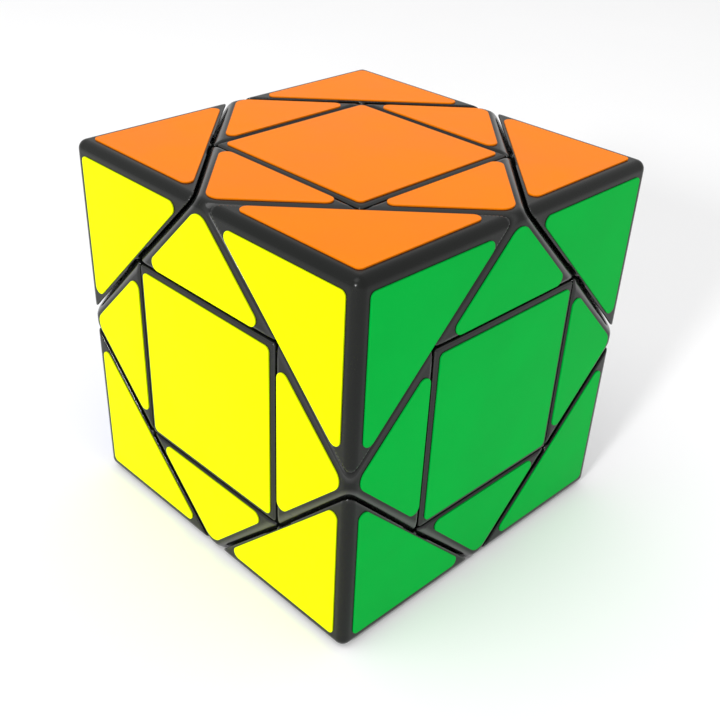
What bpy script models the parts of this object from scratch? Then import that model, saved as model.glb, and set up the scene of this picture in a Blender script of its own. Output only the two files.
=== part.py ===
"""A cube-shaped twisty puzzle, 57 mm along each edge.

Each face shows a square centre, four triangular edge pieces and four large corner pieces. The puzzle
turns about its three face axes, like any 3 x 3 x 3 cube, but the cut between two layers isn't flat: it
flares outward, so that on each face it shows as a line from one edge midpoint to the next.

The frame: origin at the cube's centre, which is the centre of the core. +Z runs up the axis of the upper
and the lower layer, +X and -Y run out of the two other faces at the front corner.
"""

import math

import bmesh
import bpy
from mathutils import Matrix, Vector

MM = 0.001
OBJECT_NAME = "twisty_puzzle_cube"

# Driving dimensions of the cube
HALF_EDGE = 28.5 * MM
WAIST = 0.6 * MM  # height of the layer cut over the middle plane, where it meets the cube's sharp edge
CENTER_HALF = (HALF_EDGE + WAIST) / 2  # half the side of the square centre, between cut middles
EDGE_ROUNDING = 1.4 * MM
ROUNDING_SEGMENTS = 2
GAP = 0.3 * MM
TURNED_STEPS = 36
SHARP_ANGLE = math.radians(35)

# Driving dimensions of the mechanism inside
STRAIGHT_WALL_RADIUS = 26.0 * MM  # the cut is flat from here out to the flare
FOOT_OUTER_RADIUS = 22.0 * MM
FOOT_INNER_RADIUS = 18.0 * MM
FOOT_HEIGHT = 7.5 * MM  # how near the feet reach to the middle plane
NECK_HEIGHT = 10.5 * MM  # the same for the necks above the feet
FLARE_SEGMENTS = 3
BEYOND = 2.0 * MM  # how far a cutter runs past what it cuts
OVERLAP = 0.05 * MM  # how far blanks run into each other before they are joined
HOLLOW_STEPS = 24

# Centre pieces
CAP_THICKNESS = 1.9 * MM
CAP_LIP_DEPTH = 2.2 * MM
WALL = 1.6 * MM
SKIRT_BOTTOM = 21.0 * MM
CAVITY_FLOOR = 22.6 * MM
STEM_RADIUS = 5.2 * MM
STEM_BOTTOM = 9.6 * MM
BORE_RADIUS = 3.9 * MM
BORE_FLOOR = 11.2 * MM
CENTER_FOOT_BOTTOM = 17.0 * MM
ROUND_STEPS = 16

# Core and fasteners
ARM_RADIUS = 4.2 * MM
HUB_RADIUS = 6.4 * MM
SCREW_HOLE_RADIUS = 1.5 * MM
SCREW_HOLE_BOTTOM = 3.0 * MM
SHANK_RADIUS = 1.2 * MM
SCREW_TIP = 3.3 * MM
SCREW_HEAD_BOTTOM = 19.1 * MM
SCREW_HEAD_RADIUS = 2.7 * MM
SCREW_HEAD_HEIGHT = 1.6 * MM
SOCKET_RADIUS = 1.1 * MM
SOCKET_DEPTH = 1.0 * MM
WASHER_RADIUS = 3.4 * MM
WASHER_THICKNESS = 0.5 * MM
SPRING_RADIUS = 2.9 * MM
SPRING_WIRE_RADIUS = 0.35 * MM
SPRING_TURNS = 4
SPRING_POINTS_PER_TURN = 7
SMALL_ROUND_STEPS = 12

# Points nearer to each other than these are one point
TURNED_MERGE = 0.01 * MM
CAP_WELD = 0.001 * MM

# Colours are linear
BLACK_PLASTIC = ("black_plastic", (0.035, 0.035, 0.037), 0.0, 0.32)
CORE_PLASTIC = ("core_plastic", (0.10, 0.10, 0.11), 0.0, 0.45)
STEEL = ("steel", (0.62, 0.62, 0.64), 1.0, 0.28)


def material(recipe):
    name, colour, metallic, roughness = recipe
    made = bpy.data.materials.get(name) or bpy.data.materials.new(name)
    made.use_nodes = True
    shader = made.node_tree.nodes["Principled BSDF"]
    shader.inputs["Base Color"].default_value = (*colour, 1)
    shader.inputs["Metallic"].default_value = metallic
    shader.inputs["Roughness"].default_value = roughness
    made.diffuse_color = (*colour, 1)
    return made


def new_object(name, mesh, collection):
    made = bpy.data.objects.new(name, mesh)
    collection.objects.link(made)
    return made


def hide_as_cutter(obj):
    obj.hide_render = True
    obj.display_type = "WIRE"
    return obj


def add_boolean(obj, other, operation):
    cut = obj.modifiers.new(f"{operation.lower()} {other.name}", "BOOLEAN")
    cut.operation = operation
    cut.solver = "EXACT"
    cut.object = other


def baked_mesh(obj, name):
    """The object's evaluated mesh, which any number of copies can share."""
    graph = bpy.context.evaluated_depsgraph_get()
    mesh = bpy.data.meshes.new_from_object(obj.evaluated_get(graph))
    mesh.name = name
    return mesh


def box_mesh(name, low, high):
    mesh = bpy.data.meshes.new(name)
    shape = bmesh.new()
    bmesh.ops.create_cube(shape, size=1)
    low, high = Vector(low), Vector(high)
    size = high - low
    bmesh.ops.transform(
        shape,
        verts=shape.verts,
        matrix=Matrix.Translation((low + high) / 2) @ Matrix.Diagonal((*size, 1)),
    )
    shape.to_mesh(mesh)
    shape.free()
    return mesh


def cylinder_mesh(name, radius, low, high, steps=ROUND_STEPS):
    mesh = bpy.data.meshes.new(name)
    shape = bmesh.new()
    bmesh.ops.create_cone(
        shape, cap_ends=True, segments=steps, radius1=radius, radius2=radius, depth=high - low
    )
    bmesh.ops.translate(shape, verts=shape.verts, vec=(0, 0, (low + high) / 2))
    shape.to_mesh(mesh)
    shape.free()
    return mesh


def turned_object(name, profile, steps, collection):
    """Turns a profile of (radius, height) points about Z. It runs from the top down its outer side."""
    mesh = bpy.data.meshes.new(name)
    points = [(radius, 0, height) for radius, height in profile]
    mesh.from_pydata(points, [(i, i + 1) for i in range(len(points) - 1)], [])
    made = new_object(name, mesh, collection)
    turn = made.modifiers.new("turn", "SCREW")
    turn.steps = steps
    turn.render_steps = steps
    turn.use_merge_vertices = True
    turn.merge_threshold = TURNED_MERGE
    return made


# The cut between two layers


def cut_height(across):
    """Height of the cut on a cube face, at this distance across the face from its middle."""
    return HALF_EDGE + WAIST - across


def cut_profile():
    """Half of the cut's section as (radius, height) points, from outside the cube inward."""
    outside = HALF_EDGE + BEYOND
    across = [
        HALF_EDGE + (CENTER_HALF - HALF_EDGE) * i / FLARE_SEGMENTS for i in range(FLARE_SEGMENTS + 1)
    ]
    points = [(math.hypot(HALF_EDGE, a), cut_height(a)) for a in [outside, *across]]
    points.append((STRAIGHT_WALL_RADIUS, CENTER_HALF))
    points.append((math.sqrt(FOOT_OUTER_RADIUS**2 - NECK_HEIGHT**2), NECK_HEIGHT))
    points.append((math.sqrt(FOOT_OUTER_RADIUS**2 - FOOT_HEIGHT**2), FOOT_HEIGHT))
    points.append((0, FOOT_HEIGHT))
    return points


def offset_profile(points, distance):
    """Moves each segment to its left by distance, seen along the profile, and keeps them joined."""
    lines = []
    for (r0, h0), (r1, h1) in zip(points, points[1:], strict=False):
        run, rise = r1 - r0, h1 - h0
        length = math.hypot(run, rise)
        normal = Vector((-rise, run)) / length * distance
        lines.append((Vector((r0, h0)) + normal, Vector((run, rise)) / length))
    moved = [lines[0][0]]
    for (start, along), (other_start, other_along) in zip(lines, lines[1:], strict=False):
        crossing = along.cross(other_along)
        step = (other_start - start).cross(other_along) / crossing
        moved.append(start + along * step)
    end = lines[-1][0]
    moved.append(Vector((0, end.y)))
    return [(point.x, point.y) for point in moved]


def layer_solid(name, clearance, collection):
    """The space on the outer side of the cut, about +Z. A positive clearance shrinks it."""
    cut = offset_profile(cut_profile(), -clearance)
    top = HALF_EDGE + BEYOND
    profile = [(0, top), (cut[0][0], top), *cut]
    return turned_object(name, profile, TURNED_STEPS, collection)


def placed(obj, x_axis, y_axis, z_axis):
    """Turns an object made along the world's axes to three other axes."""
    turn = Matrix((x_axis, y_axis, z_axis)).transposed()
    obj.rotation_euler = turn.to_euler()
    return obj


def frustum_mesh(name, low_half, high_half, low, high):
    """A square block whose half side goes from low_half to high_half."""
    mesh = bpy.data.meshes.new(name)
    shape = bmesh.new()
    bmesh.ops.create_cone(
        shape,
        cap_ends=True,
        segments=4,
        radius1=low_half * math.sqrt(2),
        radius2=high_half * math.sqrt(2),
        depth=high - low,
    )
    turn = Matrix.Rotation(math.pi / 4, 4, "Z")
    lift = Matrix.Translation((0, 0, (low + high) / 2))
    bmesh.ops.transform(shape, verts=shape.verts, matrix=lift @ turn)
    shape.to_mesh(mesh)
    shape.free()
    return mesh


def cutter(name, mesh, cutters):
    return hide_as_cutter(new_object(name, mesh, cutters))


def rounded_cube(name, cutters):
    made = cutter(name, box_mesh(name, [-HALF_EDGE] * 3, [HALF_EDGE] * 3), cutters)
    rounding = made.modifiers.new("rounded edges", "BEVEL")
    rounding.width = EDGE_ROUNDING
    rounding.segments = ROUNDING_SEGMENTS
    return made


def carved(name, base, steps, cutters):
    """Copies base, applies (operation, cutter) steps to it and returns the mesh."""
    work = cutter(f"{name}_blank", base.data, cutters)
    for modifier in base.modifiers:
        rounding = work.modifiers.new(modifier.name, modifier.type)
        rounding.width = modifier.width
        rounding.segments = modifier.segments
    for operation, other in steps:
        add_boolean(work, other, operation)
    return baked_mesh(work, name)


def make_outer_meshes(cutters):
    """The corner at (+X, +Y, +Z) and the edge piece at (+Y, +Z)."""
    x, y, z = Matrix.Identity(3)
    inside = {}
    for axis, turn in {"x": (y, z, x), "y": (z, x, y), "z": (x, y, z)}.items():
        inside[axis] = placed(layer_solid(f"layer_{axis}", GAP / 2, cutters), *turn)
    right = placed(layer_solid("layer_right", -GAP / 2, cutters), y, z, x)
    left = placed(layer_solid("layer_left", -GAP / 2, cutters), z, y, -x)
    for obj in [*inside.values(), right, left]:
        hide_as_cutter(obj)
    bpy.ops.mesh.primitive_uv_sphere_add(
        segments=HOLLOW_STEPS, ring_count=HOLLOW_STEPS // 2, radius=FOOT_INNER_RADIUS
    )
    hollow = bpy.context.object
    hollow.name = "hollow"
    for home in list(hollow.users_collection):
        home.objects.unlink(hollow)
    cutters.objects.link(hollow)
    hide_as_cutter(hollow)
    cube = rounded_cube("cube_outline", cutters)
    bpy.context.view_layer.update()
    corner = carved(
        "corner_piece",
        cube,
        [
            ("INTERSECT", inside["x"]),
            ("INTERSECT", inside["y"]),
            ("INTERSECT", inside["z"]),
            ("DIFFERENCE", hollow),
        ],
        cutters,
    )
    edge = carved(
        "edge_piece",
        cube,
        [
            ("INTERSECT", inside["y"]),
            ("INTERSECT", inside["z"]),
            ("DIFFERENCE", right),
            ("DIFFERENCE", left),
            ("DIFFERENCE", hollow),
        ],
        cutters,
    )
    return corner, edge


def union_of(name, meshes, cuts, cutters):
    """Joins meshes into one body, then takes the cuts out of it."""
    first, *others = meshes
    work = cutter(f"{name}_blank", first, cutters)
    for mesh in others:
        add_boolean(work, cutter(mesh.name, mesh, cutters), "UNION")
    for mesh in cuts:
        add_boolean(work, cutter(mesh.name, mesh, cutters), "DIFFERENCE")
    return baked_mesh(work, name)


def taper_half(height):
    """Half the space that the neighbouring layers leave at this height under a centre's straight walls."""
    inner_radius = math.sqrt(FOOT_OUTER_RADIUS**2 - NECK_HEIGHT**2)
    share = (height - inner_radius) / (STRAIGHT_WALL_RADIUS - inner_radius)
    return NECK_HEIGHT + share * (CENTER_HALF - NECK_HEIGHT)


def make_center_mesh(cutters):
    """The centre piece at +Z: an open square box on a stem, with a bore for the spring."""
    rim = HALF_EDGE - CAP_THICKNESS - GAP
    outside = CENTER_HALF - GAP / 2
    skirt = taper_half(SKIRT_BOTTOM) - GAP
    foot = FOOT_HEIGHT - GAP / 2 - OVERLAP
    solids = [
        frustum_mesh("center_skirt", skirt, outside, SKIRT_BOTTOM, STRAIGHT_WALL_RADIUS),
        frustum_mesh("center_wall", outside, outside, STRAIGHT_WALL_RADIUS - OVERLAP, rim),
        frustum_mesh("center_foot", foot, foot, CENTER_FOOT_BOTTOM, SKIRT_BOTTOM + OVERLAP),
        cylinder_mesh("center_stem", STEM_RADIUS, STEM_BOTTOM, CENTER_FOOT_BOTTOM + OVERLAP),
    ]
    cuts = [
        frustum_mesh("center_cavity", skirt - WALL / 2, outside - WALL, CAVITY_FLOOR, rim + OVERLAP),
        cylinder_mesh("center_bore", BORE_RADIUS, BORE_FLOOR, CAVITY_FLOOR + OVERLAP),
        cylinder_mesh("center_screw_hole", SCREW_HOLE_RADIUS, STEM_BOTTOM - BEYOND, BORE_FLOOR + OVERLAP),
    ]
    return union_of("center_piece", solids, cuts, cutters)


def make_cap_mesh(cutters):
    """The square cap that closes a centre piece at +Z, with a lip that drops into it."""
    outside = CENTER_HALF - GAP / 2
    bottom = HALF_EDGE - CAP_THICKNESS
    lip_bottom = bottom - CAP_LIP_DEPTH
    lip = taper_half(SKIRT_BOTTOM) - GAP
    plate = frustum_mesh("cap_plate", outside, outside, bottom, HALF_EDGE)
    solids = [plate, frustum_mesh("cap_lip", lip, lip, lip_bottom, bottom + OVERLAP)]
    inside = lip - WALL
    cuts = [frustum_mesh("cap_recess", inside, inside, lip_bottom - BEYOND, bottom)]
    return union_of("center_cap", solids, cuts, cutters)


def make_core_mesh(cutters):
    """The six-armed core, with a hole for a screw in the end of each arm."""
    arm_end = STEM_BOTTOM - GAP
    bpy.ops.mesh.primitive_uv_sphere_add(
        segments=ROUND_STEPS, ring_count=ROUND_STEPS // 2, radius=HUB_RADIUS
    )
    hub = bpy.context.object
    solids = [hub.data]
    cuts = []
    bpy.data.objects.remove(hub)
    for name, turn in {"z": (0, "X"), "x": (90, "Y"), "y": (90, "X")}.items():
        rotation = Matrix.Rotation(math.radians(turn[0]), 4, turn[1])
        bar = cylinder_mesh(f"core_bar_{name}", ARM_RADIUS, -arm_end, arm_end)
        bar.transform(rotation)
        solids.append(bar)
        for sign in (-1, 1):
            ends = sorted((sign * SCREW_HOLE_BOTTOM, sign * (arm_end + BEYOND)))
            hole = cylinder_mesh(
                f"core_hole_{name}_{sign}", SCREW_HOLE_RADIUS, *ends, steps=SMALL_ROUND_STEPS
            )
            hole.transform(rotation)
            cuts.append(hole)
    return union_of("core", solids, cuts, cutters)


def make_screw_mesh(cutters):
    head_top = SCREW_HEAD_BOTTOM + SCREW_HEAD_HEIGHT
    point = SHANK_RADIUS / 2
    profile = [
        (0, head_top - SOCKET_DEPTH),
        (SOCKET_RADIUS, head_top - SOCKET_DEPTH),
        (SOCKET_RADIUS, head_top),
        (SCREW_HEAD_RADIUS, head_top),
        (SCREW_HEAD_RADIUS, SCREW_HEAD_BOTTOM),
        (SHANK_RADIUS, SCREW_HEAD_BOTTOM),
        (SHANK_RADIUS, SCREW_TIP + SHANK_RADIUS),
        (point, SCREW_TIP),
        (0, SCREW_TIP),
    ]
    turned = turned_object("screw_profile", profile, SMALL_ROUND_STEPS, cutters)
    return baked_mesh(hide_as_cutter(turned), "screw")


def make_washer_mesh(cutters):
    top = SCREW_HEAD_BOTTOM - GAP
    bottom = top - WASHER_THICKNESS
    disc = cylinder_mesh("washer_disc", WASHER_RADIUS, bottom, top, SMALL_ROUND_STEPS)
    ends = (bottom - BEYOND, top + BEYOND)
    hole = cylinder_mesh("washer_hole", SCREW_HOLE_RADIUS, *ends, SMALL_ROUND_STEPS)
    ring = cutter("washer_disc", disc, cutters)
    add_boolean(ring, cutter("washer_hole", hole, cutters), "DIFFERENCE")
    return baked_mesh(ring, "washer")


def make_spring_mesh(cutters):
    """A closed coil of round wire between the bore's floor and the washer."""
    low = BORE_FLOOR + GAP + SPRING_WIRE_RADIUS
    high = SCREW_HEAD_BOTTOM - WASHER_THICKNESS - 2 * GAP - SPRING_WIRE_RADIUS
    count = SPRING_TURNS * SPRING_POINTS_PER_TURN + 1
    curve = bpy.data.curves.new("spring_wire", "CURVE")
    curve.dimensions = "3D"
    curve.bevel_depth = SPRING_WIRE_RADIUS
    curve.bevel_resolution = 2
    curve.use_fill_caps = True
    wire = curve.splines.new("POLY")
    wire.points.add(count - 1)
    for i, point in enumerate(wire.points):
        angle = math.tau * i / SPRING_POINTS_PER_TURN
        height = low + (high - low) * i / (count - 1)
        point.co = (SPRING_RADIUS * math.cos(angle), SPRING_RADIUS * math.sin(angle), height, 1)
    coil = hide_as_cutter(new_object("spring_wire", curve, cutters))
    mesh = baked_mesh(coil, "spring")
    shape = bmesh.new()
    shape.from_mesh(mesh)
    bmesh.ops.remove_doubles(shape, verts=shape.verts, dist=CAP_WELD)
    shape.to_mesh(mesh)
    shape.free()
    bpy.data.objects.remove(coil)
    return mesh


# Assembly


def put(name, mesh, recipe, axes, body, parts):
    """Adds one piece that was modelled along the world's axes, turned to the given axes."""
    made = placed(new_object(name, mesh, parts), *axes)
    if not mesh.materials:
        mesh.materials.append(material(recipe))
    made.parent = body
    return made


def body_empty(name, collection):
    """Stands for a body that turns as one. It sits on the layers' axis."""
    made = new_object(name, None, collection)
    made.empty_display_type = "ARROWS"
    made.empty_display_size = HALF_EDGE
    return made


def main():
    for obj in list(bpy.data.objects):
        bpy.data.objects.remove(obj)
    parts = bpy.data.collections.new(OBJECT_NAME)
    cutters = bpy.data.collections.new("cutters")
    for collection in (parts, cutters):
        bpy.context.scene.collection.children.link(collection)

    corner, edge = make_outer_meshes(cutters)
    center = make_center_mesh(cutters)
    cap = make_cap_mesh(cutters)
    core = make_core_mesh(cutters)
    screw = make_screw_mesh(cutters)
    washer = make_washer_mesh(cutters)
    spring = make_spring_mesh(cutters)
    for mesh in (corner, edge, center, cap, core, screw, washer, spring):
        mesh.shade_smooth()
        mesh.set_sharp_from_angle(angle=SHARP_ANGLE)

    middle = body_empty("middle_layer", parts)
    bodies = {
        0: middle,
        1: body_empty("upper_layer", parts),
        -1: body_empty("lower_layer", parts),
    }
    x, y, z = Matrix.Identity(3)
    put("core", core, CORE_PLASTIC, (x, y, z), middle, parts)

    sides = {
        "top": z,
        "bottom": -z,
        "front": -y,
        "back": y,
        "right": x,
        "left": -x,
    }
    for side, outward in sides.items():
        across = y if outward in (x, -x) else x
        axes = (across, outward.cross(across), outward)
        body = bodies[round(outward.z)]
        put(f"center_{side}", center, BLACK_PLASTIC, axes, body, parts)
        put(f"center_cap_{side}", cap, BLACK_PLASTIC, axes, body, parts)
        put(f"screw_{side}", screw, STEEL, axes, middle, parts)
        put(f"washer_{side}", washer, STEEL, axes, middle, parts)
        put(f"spring_{side}", spring, STEEL, axes, middle, parts)

    names = list(sides)
    for i, first in enumerate(names):
        for second in names[i + 1 :]:
            one, other = sides[first], sides[second]
            if one == -other:
                continue
            axes = (other.cross(one), other, one)
            body = bodies[round(one.z)]
            put(f"edge_{first}_{second}", edge, BLACK_PLASTIC, axes, body, parts)

    for high in ("top", "bottom"):
        for near in ("front", "back"):
            for aside in ("right", "left"):
                axes = [sides[aside], sides[near], sides[high]]
                if axes[0].cross(axes[1]).dot(axes[2]) < 0:
                    axes[0], axes[1] = axes[1], axes[0]
                body = bodies[round(sides[high].z)]
                put(f"corner_{high}_{near}_{aside}", corner, BLACK_PLASTIC, axes, body, parts)


main()
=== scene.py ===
"""The finished look of the cube-shaped twisty puzzle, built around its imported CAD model."""

import math

import bpy
import numpy as np
from mathutils import Matrix, Vector


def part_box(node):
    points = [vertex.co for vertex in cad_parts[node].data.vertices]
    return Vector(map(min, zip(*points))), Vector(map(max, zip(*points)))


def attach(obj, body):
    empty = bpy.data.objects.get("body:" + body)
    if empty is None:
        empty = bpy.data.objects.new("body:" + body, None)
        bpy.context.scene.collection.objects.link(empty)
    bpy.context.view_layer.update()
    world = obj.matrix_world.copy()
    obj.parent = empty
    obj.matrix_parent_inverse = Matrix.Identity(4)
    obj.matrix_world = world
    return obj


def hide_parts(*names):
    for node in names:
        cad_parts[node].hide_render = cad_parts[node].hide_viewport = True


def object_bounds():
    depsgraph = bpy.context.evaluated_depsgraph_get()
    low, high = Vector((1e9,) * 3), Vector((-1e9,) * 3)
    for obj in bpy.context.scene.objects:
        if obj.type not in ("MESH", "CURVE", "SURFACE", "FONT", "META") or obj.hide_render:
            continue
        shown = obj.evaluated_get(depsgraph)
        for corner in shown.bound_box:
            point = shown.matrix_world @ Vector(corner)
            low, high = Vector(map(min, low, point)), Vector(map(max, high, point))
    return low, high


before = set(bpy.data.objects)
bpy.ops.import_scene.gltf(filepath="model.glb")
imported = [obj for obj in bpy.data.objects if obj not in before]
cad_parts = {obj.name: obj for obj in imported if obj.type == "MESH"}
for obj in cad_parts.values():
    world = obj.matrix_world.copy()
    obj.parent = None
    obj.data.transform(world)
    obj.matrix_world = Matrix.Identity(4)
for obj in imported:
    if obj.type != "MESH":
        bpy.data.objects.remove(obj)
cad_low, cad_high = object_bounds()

MM = 0.001
GAP = 0.3 * MM  # between neighbouring mouldings

# Sizes read from the frame
HALF_EDGE = cad_high.z
CENTER_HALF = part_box("center_cap_top")[1].x + GAP / 2  # half the square centre, between cut middles
WAIST = 2 * CENTER_HALF - HALF_EDGE
CAP_LIP_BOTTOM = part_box("center_cap_top")[0].z
CAP_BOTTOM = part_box("center_top")[1].z
FOOT_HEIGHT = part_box("edge_top_back")[0].z - GAP / 2

# The mouldings
STRAIGHT_WALL_RADIUS = 26.0 * MM
FOOT_OUTER_RADIUS = 22.0 * MM
FOOT_INNER_RADIUS = 18.0 * MM
NECK_HEIGHT = 10.5 * MM
CUBE_ROUNDING = 1.4 * MM
CAP_LIP_INSET = 3.35 * MM
FILLET = 0.45 * MM
FLARE_STEPS = 16
FLARE_OVERSHOOT = 4 * MM  # how far the flare's outline runs on past the cube
CORNER_LOW = 1.2 * MM  # the corner pieces stay farther than this from the cube's middle planes

# The surface mesh of a moulding
CELL = 0.35 * MM
MARGIN_CELLS = 3
TABLE_STEP = 0.05 * MM
TABLE_BELOW = 4 * MM
TABLE_RADIUS = 1.6 * HALF_EDGE
TABLE_HEIGHT = 1.3 * HALF_EDGE
TABLE_END = 1.001  # steps kept free at the table's end, so that each place has a next one
PROBE = 0.03 * MM
LEAST_STEEPNESS = 0.25
SETTLE_ROUNDS = 3
RELAX_ROUNDS = 4
KEPT_TRIANGLES = 0.22

# The stickers
STICKER_THICKNESS = 0.2 * MM
STICKER_SINK = 0.02 * MM
STICKER_EDGE = 0.07 * MM
RIM_STEPS = 3
RIM_WIDTH = 3 * STICKER_EDGE
CENTER_STICKER_HALF = 13.5 * MM
EDGE_STICKER_BASE = 15.0 * MM
CUT_TO_EDGE_STICKER = 1.1 * MM
CUT_TO_CORNER_STICKER = 0.9 * MM
FACE_EDGE_TO_STICKER = 1.9 * MM
CENTER_STICKER_RADII = [0.8 * MM] * 4
EDGE_STICKER_RADII = [1.1 * MM, 2.1 * MM, 1.1 * MM]
CORNER_STICKER_RADII = [1.0 * MM, 0.8 * MM, 1.0 * MM]
ARC_STEPS = 8

# The camera
CAMERA_AZIMUTH = 44.41
CAMERA_ELEVATION = 29.8
CAMERA_DISTANCE = 159.5 * MM
CAMERA_ROLL = 2.05
CAMERA_TARGET = Vector((2.54, -5.59, -8.65)) * MM
CAMERA_LENS = 51.26
CAMERA_SHIFT = (0.032, 0.045)
CAMERA_CLIP_START = 0.01

# The studio: angles in degrees, the rest in metres and watts
FLOOR_SIZE = 6
FLOOR_CLEARANCE = 0.05 * MM
FLOOR_HEIGHT = -HALF_EDGE - STICKER_THICKNESS - FLOOR_CLEARANCE
WORLD_STRENGTH = 0.8
KEY_LAMP = {"azimuth": -10, "elevation": 66, "distance": 1.0, "size": 0.7, "power": 2.4}
GLINT_LAMP = {"azimuth": 14, "elevation": 23, "distance": 1.1, "size": 0.15, "power": 7}

# Bump depths, colours and the slant of drawn-out patterns in radians
PLASTIC_BUMP = 0.004 * MM
CORE_BUMP = 0.01 * MM
STEEL_BUMP = 0.006 * MM
VINYL_BUMP = 0.004 * MM
PATTERN_SLANT = (0.4, 0.9, 0.3)
PLASTIC_BLACK = (0.0055, 0.0062, 0.0055)
RUBBED_BLACK = (0.010, 0.011, 0.010)
CORE_GREYS = ((0.085, 0.085, 0.092), (0.125, 0.125, 0.13))
STEEL_GREYS = ((0.56, 0.56, 0.58), (0.68, 0.68, 0.69))
FLOOR_WHITES = ((0.90, 0.90, 0.905), (0.93, 0.93, 0.93))
CLOUD_SHADE = 0.93  # a sticker's darker clouds, as a share of its colour
RIM_PAINTED_SHADE = 0.25  # painted shade along the foot of a sticker's edge, as a share of its colour

X_AXIS, Y_AXIS, Z_AXIS = Matrix.Identity(3)
SIDES = {
    "top": Z_AXIS,
    "bottom": -Z_AXIS,
    "front": -Y_AXIS,
    "back": Y_AXIS,
    "right": X_AXIS,
    "left": -X_AXIS,
}
STICKER_COLOURS = {
    "top": ("sticker_orange", (0.92, 0.216, 0.0)),
    "bottom": ("sticker_red", (0.58, 0.010, 0.014)),
    "front": ("sticker_yellow", (0.78, 0.94, 0.0)),
    "back": ("sticker_white", (0.80, 0.81, 0.82)),
    "right": ("sticker_green", (0.0, 0.435, 0.048)),
    "left": ("sticker_blue", (0.006, 0.070, 0.46)),
}
# The orange and red vinyls shine a little more than the others.
STICKER_GLOSS = dict.fromkeys(SIDES, 0.02) | {"top": 0.06, "bottom": 0.06}


# Materials


def new_material(name):
    made = bpy.data.materials.new(name)
    made.use_nodes = True
    return made, made.node_tree, made.node_tree.nodes["Principled BSDF"]


def add_node(tree, kind, **values):
    """Adds a node and sets its inputs by name and its settings by attribute."""
    node = tree.nodes.new(kind)
    for key, value in values.items():
        if key in node.inputs:
            node.inputs[key].default_value = value
        else:
            setattr(node, key, value)
    return node


def noise(tree, scale, detail, stretch=None):
    """A noise pattern in the object's own coordinates, slanted and drawn out if stretch is given.

    scale is in waves per metre.
    """
    place = tree.nodes.new("ShaderNodeTexCoord")
    made = add_node(tree, "ShaderNodeTexNoise", Scale=scale, Detail=detail)
    if stretch is None:
        tree.links.new(place.outputs["Object"], made.inputs["Vector"])
        return made.outputs["Fac"]
    turn = add_node(tree, "ShaderNodeMapping", Scale=stretch, Rotation=PATTERN_SLANT)
    tree.links.new(place.outputs["Object"], turn.inputs["Vector"])
    tree.links.new(turn.outputs["Vector"], made.inputs["Vector"])
    return made.outputs["Fac"]


def ramp(tree, value, low, high, to_low=0.0, to_high=1.0):
    """Maps value from low..high to to_low..to_high, and holds it there beyond."""
    made = tree.nodes.new("ShaderNodeMapRange")
    for name, number in {"From Min": low, "From Max": high, "To Min": to_low, "To Max": to_high}.items():
        made.inputs[name].default_value = number
    tree.links.new(value, made.inputs["Value"])
    return made.outputs["Result"]


def math_node(tree, operation, one, other):
    """Joins two values, each a number or a socket."""
    made = add_node(tree, "ShaderNodeMath", operation=operation)
    for i, value in enumerate((one, other)):
        if isinstance(value, (int, float)):
            made.inputs[i].default_value = value
        else:
            tree.links.new(value, made.inputs[i])
    return made.outputs["Value"]


def blend_colours(tree, factor, one, other):
    """Mixes two colours, each a tuple or a socket."""
    made = add_node(tree, "ShaderNodeMix", data_type="RGBA")
    tree.links.new(factor, made.inputs["Factor"])
    for socket, colour in zip((made.inputs[6], made.inputs[7]), (one, other)):
        if isinstance(colour, tuple):
            socket.default_value = (*colour, 1)
        else:
            tree.links.new(colour, socket)
    return made.outputs[2]


def add_bump(tree, shader, height, distance, strength):
    made = add_node(tree, "ShaderNodeBump", Strength=strength, Distance=distance)
    tree.links.new(height, made.inputs["Height"])
    tree.links.new(made.outputs["Normal"], shader.inputs["Normal"])


def attribute(tree, name):
    return add_node(tree, "ShaderNodeAttribute", attribute_name=name).outputs["Fac"]


def black_plastic():
    """Moulded ABS: a fine matt grain, hairline scratches and edges polished by handling."""
    made, tree, shader = new_material("black_plastic_moulded")
    grain = noise(tree, scale=2600, detail=3)
    patches = noise(tree, scale=130, detail=3)
    streaks = noise(tree, scale=420, detail=2, stretch=(1, 14, 14))
    scratches = ramp(tree, streaks, low=0.66, high=0.72)
    edge = attribute(tree, "fillet")
    handled = ramp(tree, patches, low=0.42, high=0.62, to_low=0.15, to_high=1.0)
    rubbed = math_node(tree, "MULTIPLY", edge, handled)
    tone = blend_colours(tree, rubbed, PLASTIC_BLACK, RUBBED_BLACK)
    tree.links.new(tone, shader.inputs["Base Color"])
    smoother = math_node(tree, "MULTIPLY", rubbed, -0.07)
    rougher = math_node(tree, "MULTIPLY", scratches, 0.12)
    roughness = ramp(tree, patches, low=0.3, high=0.7, to_low=0.2, to_high=0.26)
    roughness = math_node(tree, "ADD", roughness, smoother)
    roughness = math_node(tree, "ADD", roughness, rougher)
    tree.links.new(roughness, shader.inputs["Roughness"])
    height = math_node(tree, "SUBTRACT", grain, math_node(tree, "MULTIPLY", scratches, 0.6))
    add_bump(tree, shader, height, PLASTIC_BUMP, strength=0.6)
    shader.inputs["Specular IOR Level"].default_value = 0.2
    tree.links.new(edge, shader.inputs["Coat Weight"])
    shader.inputs["Coat Roughness"].default_value = 0.1
    return made


def core_plastic():
    """The grey nylon of the core, with the soft mottling of an unpolished mould."""
    made, tree, shader = new_material("core_nylon")
    mottling = noise(tree, scale=500, detail=5)
    tree.links.new(blend_colours(tree, mottling, *CORE_GREYS), shader.inputs["Base Color"])
    roughness = ramp(tree, mottling, low=0.3, high=0.7, to_low=0.4, to_high=0.55)
    tree.links.new(roughness, shader.inputs["Roughness"])
    add_bump(tree, shader, noise(tree, scale=2200, detail=3), CORE_BUMP, strength=0.5)
    return made


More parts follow.
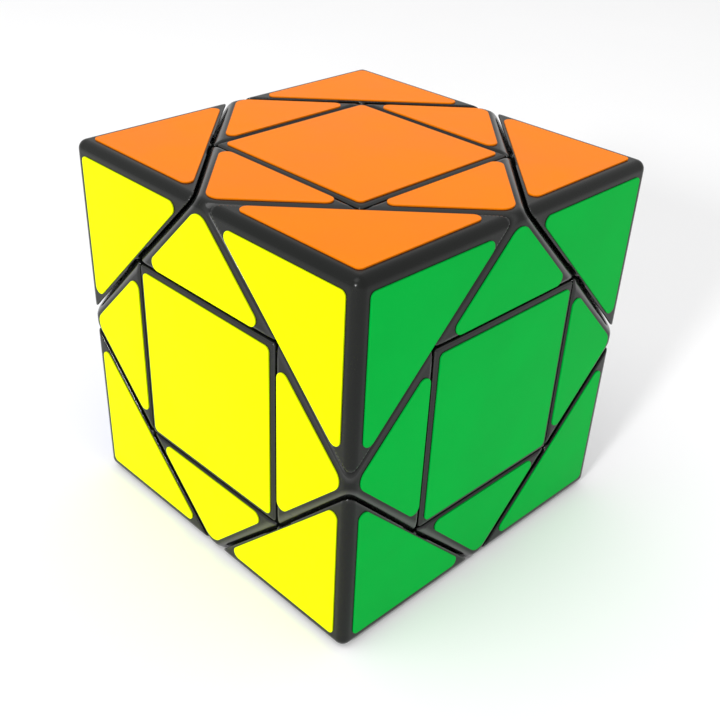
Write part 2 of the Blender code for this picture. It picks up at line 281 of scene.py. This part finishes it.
def steel():
    """Zinc-plated steel, cloudy with fine drawing lines."""
    made, tree, shader = new_material("plated_steel")
    clouds = noise(tree, scale=900, detail=4)
    lines = noise(tree, scale=1500, detail=2, stretch=(12, 12, 1))
    tree.links.new(blend_colours(tree, clouds, *STEEL_GREYS), shader.inputs["Base Color"])
    roughness = ramp(tree, clouds, low=0.3, high=0.7, to_low=0.22, to_high=0.38)
    tree.links.new(roughness, shader.inputs["Roughness"])
    add_bump(tree, shader, lines, STEEL_BUMP, strength=0.5)
    shader.inputs["Metallic"].default_value = 1.0
    return made


def sticker(name, colour, gloss):
    """Satin vinyl: a faint orange-peel surface, soft clouds, and painted shade darkening the foot of its
    edge.
    """
    made, tree, shader = new_material(name + "_vinyl")
    peel = noise(tree, scale=1100, detail=3)
    clouds = noise(tree, scale=90, detail=3)
    # Painted shade: edge weights the rim mark, and cut is the shaded colour it blends towards at the
    # foot of the sticker's side.
    edge = math_node(tree, "MULTIPLY", attribute(tree, "rim"), 0.35)
    darker = tuple(CLOUD_SHADE * c for c in colour)
    tone = blend_colours(tree, ramp(tree, clouds, low=0.35, high=0.65), darker, colour)
    cut = tuple(RIM_PAINTED_SHADE * c for c in colour)
    tree.links.new(blend_colours(tree, edge, tone, cut), shader.inputs["Base Color"])
    roughness = ramp(tree, clouds, low=0.3, high=0.7, to_low=0.34, to_high=0.44)
    tree.links.new(roughness, shader.inputs["Roughness"])
    add_bump(tree, shader, peel, VINYL_BUMP, strength=0.35)
    shader.inputs["Specular IOR Level"].default_value = gloss
    return made


def floor_material():
    made, tree, shader = new_material("pale_floor")
    tone = blend_colours(tree, noise(tree, scale=12, detail=3), *FLOOR_WHITES)
    tree.links.new(tone, shader.inputs["Base Color"])
    shader.inputs["Roughness"].default_value = 0.8
    return made


# The layer cut: a surface turned about each face's axis


def cut_outline():
    """The space outside the cut, about a face's axis, as a polygon of (radius, height) points."""
    across = np.linspace(HALF_EDGE + FLARE_OVERSHOOT, CENTER_HALF, FLARE_STEPS)
    points = [(math.hypot(HALF_EDGE, a), HALF_EDGE + WAIST - a) for a in across]
    points.append((STRAIGHT_WALL_RADIUS, CENTER_HALF))
    points.append((math.sqrt(FOOT_OUTER_RADIUS**2 - NECK_HEIGHT**2), NECK_HEIGHT))
    points.append((math.sqrt(FOOT_OUTER_RADIUS**2 - FOOT_HEIGHT**2), FOOT_HEIGHT))
    far = 2 * HALF_EDGE
    points.append((-far, FOOT_HEIGHT))
    points.append((-far, far))
    points.append((far, far))
    points.append((far, points[0][1]))
    return np.array(points)


def signed_distance(points, outline):
    """Distance from each 2D point to a closed outline, negative inside it."""
    nearest = np.full(len(points), np.inf)
    inside = np.zeros(len(points), bool)
    for start, end in zip(outline, np.roll(outline, -1, axis=0)):
        along = end - start
        share = np.clip((points - start) @ along / (along @ along), 0, 1)
        nearest = np.minimum(nearest, np.linalg.norm(points - start - share[:, None] * along, axis=1))
        if start[1] != end[1]:
            level = (points[:, 1] - start[1]) / along[1]
            between = (start[1] > points[:, 1]) != (end[1] > points[:, 1])
            inside ^= between & (points[:, 0] < start[0] + level * along[0])
    return np.where(inside, -nearest, nearest)


class CutDistance:
    """The distance to the cut, worked out once on a fine grid of radius and height."""

    def __init__(self):
        self.low = np.array((0.0, -TABLE_BELOW))
        size = np.array((TABLE_RADIUS, TABLE_HEIGHT)) - self.low
        count = np.ceil(size / TABLE_STEP).astype(int)
        radius, height = np.meshgrid(*(np.arange(n) for n in count), indexing="ij")
        points = np.stack((radius.ravel(), height.ravel()), 1) * TABLE_STEP + self.low
        self.table = signed_distance(points, cut_outline()).reshape(count)

    def __call__(self, points, axis, mirrored=False):
        height = np.abs(points[:, axis]) if mirrored else points[:, axis]
        radius = np.sqrt((points**2).sum(1) - points[:, axis] ** 2)
        place = (np.stack((radius, height), 1) - self.low) / TABLE_STEP
        place = np.clip(place, 0, np.array(self.table.shape) - TABLE_END)
        cell = place.astype(int)
        (i, j), (s, t) = cell.T, (place - cell).T
        lower = self.table[i, j] * (1 - s) + self.table[i + 1, j] * s
        upper = self.table[i, j + 1] * (1 - s) + self.table[i + 1, j + 1] * s
        return lower * (1 - t) + upper * t


def box_distance(points, low, high, rounding):
    """Distance to a box with rounded edges."""
    middle, half = (np.array(low) + high) / 2, (np.array(high) - low) / 2 - rounding
    beyond = np.abs(points - middle) - half
    outside = np.linalg.norm(np.maximum(beyond, 0), axis=1)
    return outside + np.minimum(beyond.max(1), 0) - rounding


def rounded_cut(distances):
    """The overlap of several solids, with fillets where their surfaces meet."""
    deep = np.stack(distances) + FILLET
    return np.sqrt((np.maximum(deep, 0) ** 2).sum(0)) + np.minimum(deep.max(0), 0) - FILLET


def cube_distance(points):
    return box_distance(points, [-HALF_EDGE] * 3, [HALF_EDGE] * 3, CUBE_ROUNDING)


def hollow_distance(points):
    """The round hollow at the puzzle's middle, which the feet slide over."""
    return FOOT_INNER_RADIUS - np.linalg.norm(points, axis=1)


def corner_terms(points):
    """The corner piece at (+X, +Y, +Z)."""
    layers = [cut_distance(points, axis) + GAP / 2 for axis in range(3)]
    return [cube_distance(points), *layers, hollow_distance(points)]


def edge_terms(points):
    """The edge piece at (+Y, +Z)."""
    layers = [cut_distance(points, axis) + GAP / 2 for axis in (1, 2)]
    beside = GAP / 2 - cut_distance(points, 0, mirrored=True)
    return [cube_distance(points), *layers, beside, hollow_distance(points)]


def cap_terms(points):
    """The centre's cap at +Z: a plate, and the lip under it that fits inside the centre box."""
    plate = (CENTER_HALF - GAP / 2, CAP_BOTTOM)
    lip = (CENTER_HALF - CAP_LIP_INSET, CAP_LIP_BOTTOM)
    parts = []
    for half, bottom in (plate, lip):
        low, high = (-half, -half, bottom), (half, half, 2 * HALF_EDGE)
        parts.append(box_distance(points, low, high, FILLET))
    return [cube_distance(points), np.minimum(*parts)]


# From a distance to a mesh


def surface_net(values, low):
    """The zero surface of a grid of distances, as points and four-sided faces."""
    inside = values < 0
    cells = tuple(n - 1 for n in values.shape)
    shifts = [np.array((i, j, k)) for i in (0, 1) for j in (0, 1) for k in (0, 1)]

    def shifted(grid, shift):
        return grid[tuple(slice(s, s + n) for s, n in zip(shift, cells))]

    total = sum(shifted(inside, s).astype(np.int8) for s in shifts)
    mixed = (total > 0) & (total < 8)
    number = np.full(cells, -1)
    number[mixed] = np.arange(mixed.sum())
    corner = np.argwhere(mixed)
    place = np.zeros((len(corner), 3))
    crossings = np.zeros(len(corner))
    for axis in range(3):
        step = np.eye(3, dtype=int)[axis]
        for shift in shifts:
            if shift[axis]:
                continue
            one = values[tuple((corner + shift).T)]
            other = values[tuple((corner + shift + step).T)]
            crossed = (one < 0) != (other < 0)
            share = np.where(crossed, one / np.where(crossed, one - other, 1), 0)
            place += crossed[:, None] * (shift + share[:, None] * step)
            crossings += crossed
    points = low + (corner + place / crossings[:, None]) * CELL

    faces = []
    for axis in range(3):
        second, third = np.eye(3, dtype=int)[[(axis + 1) % 3, (axis + 2) % 3]]
        step = np.eye(3, dtype=int)[axis]
        start = np.argwhere(inside != np.roll(inside, -1, axis=axis))
        keep = np.all((start > 0) & (start < np.array(values.shape) - 1), axis=1)
        start = start[keep]
        around = [start - second - third, start - third, start, start - second]
        ring = np.stack([number[tuple(a.T)] for a in around], 1)
        leaving = inside[tuple(start.T)]
        faces.append(np.where(leaving[:, None], ring, ring[:, ::-1]))
    return points, np.concatenate(faces)


def distance_of(terms, points):
    return rounded_cut(terms(points))


def gradient_of(terms, points):
    """The slope of the distance, which points straight out of the surface."""
    steps = np.eye(3) * PROBE
    rises = [distance_of(terms, points + s) - distance_of(terms, points - s) for s in steps]
    return np.stack(rises, 1) / (2 * PROBE)


def settled(terms, points, rounds=SETTLE_ROUNDS):
    """Moves points onto the surface."""
    for _ in range(rounds):
        slope = gradient_of(terms, points)
        steep = np.maximum((slope**2).sum(1), LEAST_STEEPNESS)
        move = distance_of(terms, points) / steep
        points = points - np.clip(move, -CELL, CELL)[:, None] * slope
    return points


def relaxed(terms, points, faces):
    """Evens out the mesh along the surface."""
    pairs = np.concatenate([faces[:, [i, (i + 1) % 4]] for i in range(4)])
    pairs = np.concatenate((pairs, pairs[:, ::-1]))
    count = np.bincount(pairs[:, 0], minlength=len(points))
    for _ in range(RELAX_ROUNDS):
        sums = [np.bincount(pairs[:, 0], points[pairs[:, 1], axis], len(points)) for axis in range(3)]
        points = settled(terms, (points + np.stack(sums, 1) / count[:, None]) / 2, 1)
    return settled(terms, points)


def mesh_from(name, points, faces):
    mesh = bpy.data.meshes.new(name)
    mesh.from_pydata(points.tolist(), [], faces.tolist())
    return mesh


def thinned(mesh, share):
    """The mesh with fewer triangles where it is flat, as arrays of points and triangles."""
    work = bpy.data.objects.new("work", mesh)
    bpy.context.scene.collection.objects.link(work)
    fewer = work.modifiers.new("fewer", "DECIMATE")
    fewer.ratio = share
    graph = bpy.context.evaluated_depsgraph_get()
    made = bpy.data.meshes.new_from_object(work.evaluated_get(graph))
    bpy.data.objects.remove(work)
    made.calc_loop_triangles()
    points = np.array([v.co for v in made.vertices])
    faces = np.array([t.vertices for t in made.loop_triangles])
    bpy.data.meshes.remove(made)
    return points, faces


class Shape:
    """A piece as it is modelled: its points, faces, normals, and how near each point is to an edge."""

    def __init__(self, points, faces, normals, marks, mark_name):
        self.points, self.faces, self.normals = points, faces, normals
        self.marks, self.mark_name = marks, mark_name


def moulding(name, terms, low, high):
    """The mesh of a solid given by its distance terms, inside the box from low to high."""
    low = np.array(low) - MARGIN_CELLS * CELL
    high = np.array(high) + MARGIN_CELLS * CELL
    count = np.ceil((high - low) / CELL).astype(int) + 1
    grid = np.stack(np.meshgrid(*(np.arange(n) for n in count), indexing="ij"), -1)
    values = distance_of(terms, grid.reshape(-1, 3) * CELL + low).reshape(count)
    points, faces = surface_net(values, low)
    points = relaxed(terms, settled(terms, points), faces)
    points, faces = thinned(mesh_from(name, points, faces), KEPT_TRIANGLES)
    points = settled(terms, points)
    slope = gradient_of(terms, points)
    normals = slope / np.linalg.norm(slope, axis=1)[:, None]
    second = np.sort(np.stack(terms(points)), 0)[-2]
    marks = np.clip(1 + second / FILLET, 0, 1)
    return Shape(points, faces.tolist(), normals, marks, "fillet")


# Stickers


def rounded_outline(corners, radii, inset):
    """A closed outline with an arc at each corner, moved inward, and its outward directions."""
    points, outward = [], []
    count = len(corners)
    for i in range(count):
        here = Vector(corners[i])
        back = (Vector(corners[i - 1]) - here).normalized()
        ahead = (Vector(corners[(i + 1) % count]) - here).normalized()
        half = back.angle(ahead) / 2
        middle = here + (back + ahead).normalized() * (radii[i] / math.sin(half))
        first = Vector((-back.y, back.x))
        turn = math.pi - 2 * half
        for step in range(ARC_STEPS + 1):
            direction = Matrix.Rotation(turn * step / ARC_STEPS, 2) @ first
            points.append(middle + direction * (radii[i] - inset))
            outward.append(direction)
    return points, outward


def tile(corners, radii):
    """A sticker on the top face: a thin slab with a rounded upper edge."""
    # Each ring is its inset, its height over the plastic, its normal's upward part and its mark, which
    # sets the painted shade on the edge.
    rings = [(0, -STICKER_SINK, 0, 1)]
    for step in range(RIM_STEPS + 1):
        angle = step / RIM_STEPS * math.pi / 2
        inset = STICKER_EDGE * (1 - math.cos(angle))
        lift = STICKER_THICKNESS - STICKER_EDGE * (1 - math.sin(angle))
        rings.append((inset, lift, math.sin(angle), 1 - step / RIM_STEPS))
    rings.append((RIM_WIDTH, STICKER_THICKNESS, 1, 0))
    points, normals, marks = [], [], []
    for inset, lift, upward, mark in rings:
        ring, outward = rounded_outline(corners, radii, inset)
        level = math.sqrt(max(0, 1 - upward**2))
        for place, direction in zip(ring, outward):
            points.append((place.x, place.y, HALF_EDGE + lift))
            normals.append((direction.x * level, direction.y * level, upward))
            marks.append(mark)
    count = len(ring)
    faces = [list(reversed(range(count)))]
    for level in range(len(rings) - 1):
        for i in range(count):
            j = (i + 1) % count
            low, high = level * count, (level + 1) * count
            faces.append([low + i, low + j, high + j, high + i])
    faces.append([(len(rings) - 1) * count + i for i in range(count)])
    return Shape(np.array(points), faces, np.array(normals), np.array(marks), "rim")


def center_tile():
    half = CENTER_STICKER_HALF
    corners = [(half, half), (-half, half), (-half, -half), (half, -half)]
    return tile(corners, CENTER_STICKER_RADII)


def edge_tile():
    """The triangle on the edge piece towards +Y."""
    reach = HALF_EDGE + WAIST - CUT_TO_EDGE_STICKER * math.sqrt(2)
    base = EDGE_STICKER_BASE
    corners = [(reach - base, base), (0, reach), (base - reach, base)]
    return tile(corners, EDGE_STICKER_RADII)


def corner_tile():
    """The large triangle on the corner piece towards (+X, +Y)."""
    reach = HALF_EDGE + WAIST + CUT_TO_CORNER_STICKER * math.sqrt(2)
    side = HALF_EDGE - FACE_EDGE_TO_STICKER
    corners = [(side, reach - side), (side, side), (reach - side, side)]
    return tile(corners, CORNER_STICKER_RADII)


# Assembly


def turned_mesh(name, shape, turn):
    """The shape's mesh, turned to its place on the cube."""
    turn = np.array(turn)
    mesh = bpy.data.meshes.new(name)
    mesh.from_pydata((shape.points @ turn.T).tolist(), [], shape.faces)
    mark = mesh.attributes.new(shape.mark_name, "FLOAT", "POINT")
    mark.data.foreach_set("value", shape.marks.astype(np.float32))
    mesh.shade_smooth()
    mesh.normals_split_custom_set_from_vertices((shape.normals @ turn.T).tolist())
    return mesh


def layer_of(place):
    """The body that a piece at this place belongs to."""
    if place.z > CENTER_HALF / 2:
        return "upper_layer"
    if place.z < -CENTER_HALF / 2:
        return "lower_layer"
    return "middle_layer"


def add_piece(name, shape, turn, place, finish):
    mesh = turned_mesh(name, shape, turn)
    mesh.materials.append(finish)
    piece = bpy.data.objects.new(name, mesh)
    bpy.context.scene.collection.objects.link(piece)
    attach(piece, layer_of(place))
    return piece


def add_mouldings(finish):
    corner = moulding("corner", corner_terms, [CORNER_LOW] * 3, [HALF_EDGE] * 3)
    edge_low = [-CENTER_HALF, FOOT_HEIGHT, FOOT_HEIGHT]
    edge = moulding("edge", edge_terms, edge_low, [CENTER_HALF, HALF_EDGE, HALF_EDGE])
    cap_low = [-CENTER_HALF, -CENTER_HALF, CAP_LIP_BOTTOM]
    cap = moulding("cap", cap_terms, cap_low, [CENTER_HALF, CENTER_HALF, HALF_EDGE])
    for side, outward in SIDES.items():
        across = X_AXIS if abs(outward.x) < 0.5 else Y_AXIS
        turn = Matrix((across, outward.cross(across), outward)).transposed()
        piece = add_piece(f"cap_{side}", cap, turn, outward * HALF_EDGE, finish)
        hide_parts(f"center_cap_{side}")
    names = list(SIDES)
    for i, first in enumerate(names):
        for second in names[i + 1 :]:
            one, other = SIDES[first], SIDES[second]
            if abs(one.dot(other)) > 0.5:
                continue
            turn = Matrix((other.cross(one), other, one)).transposed()
            place = (one + other) * HALF_EDGE
            piece = add_piece(f"edge_moulding_{first}_{second}", edge, turn, place, finish)
            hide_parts(f"edge_{first}_{second}")
    for high in ("top", "bottom"):
        for near in ("front", "back"):
            for aside in ("right", "left"):
                axes = [SIDES[aside], SIDES[near], SIDES[high]]
                place = (axes[0] + axes[1] + axes[2]) * HALF_EDGE
                if axes[0].cross(axes[1]).dot(axes[2]) < 0:
                    axes[0], axes[1] = axes[1], axes[0]
                turn = Matrix(axes).transposed()
                name = f"{high}_{near}_{aside}"
                piece = add_piece(f"corner_moulding_{name}", corner, turn, place, finish)
                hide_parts(f"corner_{name}")


def add_stickers():
    center, edge, corner = center_tile(), edge_tile(), corner_tile()
    for side, outward in SIDES.items():
        slot, colour = STICKER_COLOURS[side]
        finish = sticker(slot, colour, STICKER_GLOSS[side])
        around = [name for name, axis in SIDES.items() if abs(axis.dot(outward)) < 0.5]
        for name in around:
            ahead = SIDES[name]
            beside = ahead.cross(outward)
            turn = Matrix((beside, ahead, outward)).transposed()
            place = (outward + ahead) * HALF_EDGE
            add_piece(f"sticker_{side}_{name}", edge, turn, place, finish)
            aside = next(n for n in around if SIDES[n].dot(beside) > 0.5)
            label = "_".join(sorted((name, aside), key=around.index))
            place = place + beside * HALF_EDGE
            add_piece(f"sticker_{side}_{label}", corner, turn, place, finish)
        # The square is the same at each quarter turn, so it takes the last one.
        add_piece(f"sticker_{side}_center", center, turn, outward * HALF_EDGE, finish)


def finish_inner_parts(plastic):
    """Better materials for the CAD nodes that stay."""
    inside, metal = core_plastic(), steel()
    for name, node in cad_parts.items():
        kind = name.split("_")[0]
        finish = {"core": inside, "screw": metal, "washer": metal, "spring": metal}.get(kind, plastic)
        for slot in node.material_slots:
            slot.material = finish


# Studio


def add_area_light(name, azimuth, elevation, distance, size, power):
    lamp = bpy.data.lights.new(name, "AREA")
    lamp.shape = "DISK"
    lamp.size = size
    lamp.energy = power
    light = bpy.data.objects.new(name, lamp)
    bpy.context.scene.collection.objects.link(light)
    direction = direction_from(azimuth, elevation)
    light.location = direction * distance
    light.rotation_euler = direction.to_track_quat("Z", "Y").to_euler()


def direction_from(azimuth, elevation):
    """The way from the cube to a lamp or the camera. Azimuth 0 is in front, and 90 is on the right."""
    a, e = math.radians(azimuth), math.radians(elevation)
    return Vector((math.sin(a) * math.cos(e), -math.cos(a) * math.cos(e), math.sin(e)))


def add_studio():
    bpy.ops.mesh.primitive_plane_add(size=FLOOR_SIZE, location=(0, 0, FLOOR_HEIGHT))
    floor = bpy.context.object
    floor.name = "floor"
    floor.data.materials.append(floor_material())
    world = bpy.data.worlds.new("studio")
    world.use_nodes = True
    background = world.node_tree.nodes["Background"]
    background.inputs["Color"].default_value = (1, 1, 1, 1)
    background.inputs["Strength"].default_value = WORLD_STRENGTH
    bpy.context.scene.world = world
    add_area_light("key", **KEY_LAMP)
    add_area_light("lamp", **GLINT_LAMP)


def add_camera():
    lens = bpy.data.cameras.new("camera")
    lens.lens = CAMERA_LENS
    lens.shift_x, lens.shift_y = CAMERA_SHIFT
    lens.clip_start = CAMERA_CLIP_START
    camera = bpy.data.objects.new("camera", lens)
    bpy.context.scene.collection.objects.link(camera)
    place = direction_from(CAMERA_AZIMUTH, CAMERA_ELEVATION) * CAMERA_DISTANCE
    aim = (place - CAMERA_TARGET).to_track_quat("Z", "Y").to_matrix()
    camera.location = place
    camera.rotation_euler = (aim @ Matrix.Rotation(math.radians(CAMERA_ROLL), 3, "Z")).to_euler()
    bpy.context.scene.camera = camera
    bpy.context.scene.view_settings.view_transform = "Standard"


cut_distance = CutDistance()
plastic = black_plastic()
add_camera()
add_studio()
finish_inner_parts(plastic)
add_mouldings(plastic)
add_stickers()
